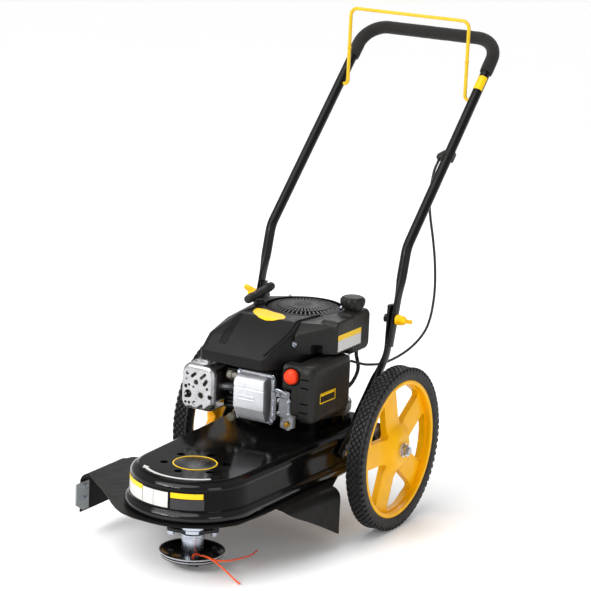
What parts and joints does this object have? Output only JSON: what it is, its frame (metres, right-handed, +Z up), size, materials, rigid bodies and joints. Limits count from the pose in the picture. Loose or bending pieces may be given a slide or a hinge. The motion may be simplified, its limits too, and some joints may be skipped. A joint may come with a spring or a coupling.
{
  "type": "wheeled string trimmer",
  "caption": "Walk-behind string trimmer: gloss black deck with tall yellow-spoked wheels, vertical-shaft engine, belt-driven line head at the nose, guard wings and a folding loop handle.",
  "frame": {"origin": "on the ground under the cutting head's axis, where the glide cup rests", "axes": "+Z up, -Y forward in the direction of travel, +X the machine's left"},
  "size_m": [0.553, 1.1179, 1.056],
  "materials": {
    "deck_black": "gloss",
    "sheet_black": "satin",
    "tube_black": "semi-gloss",
    "zinc": "zinc plated",
    "blade_steel": "ground",
    "shaft_steel": "turned",
    "tyre": "matte",
    "rim_yellow": "gloss",
    "nylon": "matte",
    "cast_grey": "machined",
    "belt_rubber": "matte",
    "cast_alloy": "cast",
    "alloy_black": "painted",
    "head_black": "semi-gloss",
    "line_orange": "semi-gloss",
    "shroud_black": "satin",
    "reel_grey": "matte",
    "rope": "braided",
    "grip_rubber": "matte",
    "muffler_steel": "heat tinted",
    "shield_steel": "bright",
    "filter_paper": "matte",
    "primer_red": "satin",
    "hose_rubber": "satin",
    "plug_white": "gloss",
    "cap_orange": "satin",
    "foam": "matte",
    "bail_yellow": "gloss",
    "knob_yellow": "satin"
  },
  "bodies": {
    "chassis": {"deck_shell": "deck_black", "engine_base_ring": "deck_black", "guard_plate": "sheet_black", "line_cutter_blade": "blade_steel", "chassis_fasteners": "zinc", "axle_brackets": "deck_black", "stub_axles": "shaft_steel", "axle_nuts": "zinc", "lower_handle_left": "tube_black", "lower_handle_right": "tube_black", "handle_pivot_bolts": "zinc", "drive_belt": "belt_rubber", "spindle_housing": "cast_alloy", "spindle_bearings": "shaft_steel", "crankcase": "alloy_black", "cylinder_block": "cast_alloy", "rocker_cover": "cast_alloy", "blower_housing": "shroud_black", "starter_cover": "shroud_black", "muffler_body": "muffler_steel", "muffler_shield": "shield_steel", "carburettor": "cast_alloy", "air_filter_base": "shroud_black", "air_filter_element": "filter_paper", "air_filter_cover": "shroud_black", "fuel_tank": "shroud_black", "fuel_hose": "hose_rubber", "spark_plug": "plug_white", "control_cable": "hose_rubber"},
    "left_wheel": {"left_tyre": "tyre", "left_rim": "rim_yellow", "left_hub_bush": "nylon"},
    "right_wheel": {"right_tyre": "tyre", "right_rim": "rim_yellow", "right_hub_bush": "nylon"},
    "crank": {"crankshaft": "shaft_steel", "flywheel": "cast_grey", "engine_pulley": "cast_grey"},
    "head": {"spindle_shaft": "shaft_steel", "spindle_pulley": "cast_grey", "head_hub": "zinc", "head_upper_saucer": "head_black", "head_lower_saucer": "head_black", "ground_glide": "head_black", "head_bolts": "zinc", "trim_line_a": "line_orange", "trim_line_b": "line_orange"},
    "reel": {"starter_reel": "reel_grey"},
    "pull": {"starter_grip": "grip_rubber", "starter_rope": "rope"},
    "primer": {"primer_bulb": "primer_red"},
    "tank_cap": {"fuel_cap": "shroud_black"},
    "oil_plug": {"oil_cap": "cap_orange"},
    "brake": {"brake_lever": "zinc"},
    "handle": {"upper_handle": "tube_black", "foam_grip": "foam", "cable_clamp": "shroud_black"},
    "bail_bar": {"bail": "bail_yellow"},
    "left_knob": {"knob_left": "knob_yellow"},
    "right_knob": {"knob_right": "knob_yellow"}
  },
  "joints": [
    {"name": "left_wheel_spin", "type": "hinge", "parent": "chassis", "child": "left_wheel", "pos_m": [0.216, 0.45, 0.178], "axis": [1, 0, 0], "continuous": true},
    {"name": "right_wheel_spin", "type": "hinge", "parent": "chassis", "child": "right_wheel", "pos_m": [-0.216, 0.45, 0.178], "axis": [1, 0, 0], "continuous": true},
    {"name": "crank_spin", "type": "hinge", "parent": "chassis", "child": "crank", "pos_m": [0, 0.415, 0.243], "axis": [0, 0, 1], "continuous": true},
    {"name": "head_spin", "type": "hinge", "parent": "chassis", "child": "head", "pos_m": [0, 0, 0.05], "axis": [0, 0, 1], "continuous": true},
    {"name": "handle_fold", "type": "hinge", "parent": "chassis", "child": "handle", "pos_m": [0, 0.51, 0.443], "axis": [1, 0, 0], "range_deg": [0, 120], "deforming": ["control_cable"]},
    {"name": "bail_squeeze", "type": "hinge", "parent": "handle", "child": "bail_bar", "pos_m": [0, 0.8293, 0.8782], "axis": [-1, 0, 0], "range_deg": [0, 34], "stiffness_Nm_per_rad": 2, "springref_deg": -17.19},
    {"name": "brake_turn", "type": "hinge", "parent": "chassis", "child": "brake", "pos_m": [0.124, 0.388, 0.362], "axis": [-1, 0, 0], "range_deg": [0, 29]},
    {"name": "left_knob_turn", "type": "hinge", "parent": "chassis", "child": "left_knob", "pos_m": [0.19, 0.51, 0.443], "axis": [1, 0, 0], "continuous": true},
    {"name": "right_knob_turn", "type": "hinge", "parent": "chassis", "child": "right_knob", "pos_m": [-0.19, 0.51, 0.443], "axis": [1, 0, 0], "continuous": true},
    {"name": "starter_pull", "type": "slide", "parent": "chassis", "child": "pull", "axis": [0, 0, 1], "range_m": [0, 0.45]},
    {"name": "reel_turn", "type": "hinge", "parent": "chassis", "child": "reel", "pos_m": [0, 0.415, 0.445], "axis": [0, 0, 1], "range_deg": [0, 540]},
    {"name": "primer_press", "type": "slide", "parent": "chassis", "child": "primer", "axis": [0, 1, 0], "range_m": [0, 0.005], "stiffness_N_per_m": 800},
    {"name": "fuel_cap_turn", "type": "hinge", "parent": "chassis", "child": "tank_cap", "pos_m": [0.116, 0.419, 0.48], "axis": [0, 0, 1], "continuous": true},
    {"name": "oil_cap_turn", "type": "hinge", "parent": "chassis", "child": "oil_plug", "pos_m": [0.104, 0.41, 0.265], "axis": [0, 0, 1], "continuous": true}
  ],
  "couplings": [
    {"joint": "head_spin", "follows": "crank_spin", "ratio": 0.76},
    {"joint": "brake_turn", "follows": "bail_squeeze", "ratio": 0.8},
    {"joint": "reel_turn", "follows": "starter_pull", "rad_per_m": 20.833}
  ]
}
